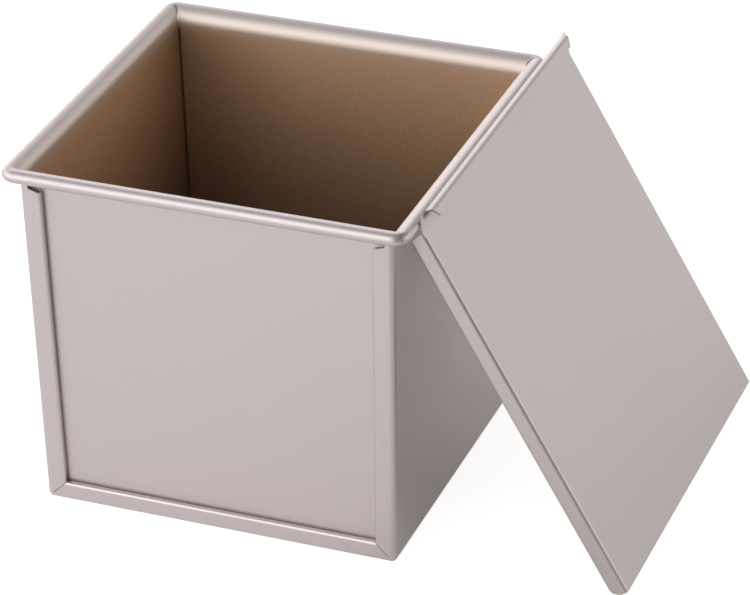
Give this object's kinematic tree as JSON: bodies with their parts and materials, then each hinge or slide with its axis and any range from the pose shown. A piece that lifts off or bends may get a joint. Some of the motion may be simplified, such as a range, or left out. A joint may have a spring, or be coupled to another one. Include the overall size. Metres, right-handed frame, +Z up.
{
  "type": "loaf pan",
  "caption": "Square straight-sided metal pan for a cube loaf, folded from coated sheet with a rolled rim, its sliding lid taken off and leaning against one side of the rim",
  "frame": {"origin": "middle of the pan's flat base, on the surface that it stands on", "axes": "+Z up; +X from the pan towards the leaning lid, square to the two side walls that carry the beads the lid slides on; -Y towards the front end panel"},
  "size_m": [0.1646, 0.1209, 0.0998],
  "materials": {
    "pan_coating": "satin rose-champagne non-stick coating on steel sheet",
    "lid_coating": "satin rose-champagne non-stick coating on steel sheet",
    "wire_steel": "plain drawn steel wire"
  },
  "bodies": {
    "pan": {"body_wrap": "pan_coating", "front_end_panel": "pan_coating", "back_end_panel": "pan_coating", "rim_wire": "wire_steel"},
    "lid_leaning": {"lid": "lid_coating"}
  },
  "joints": [
    {"name": "lid_lift_off", "type": "slide", "parent": "pan", "child": "lid_leaning", "axis": [0.8678, 0, 0.497], "range_m": [0, 0.06]}
  ]
}
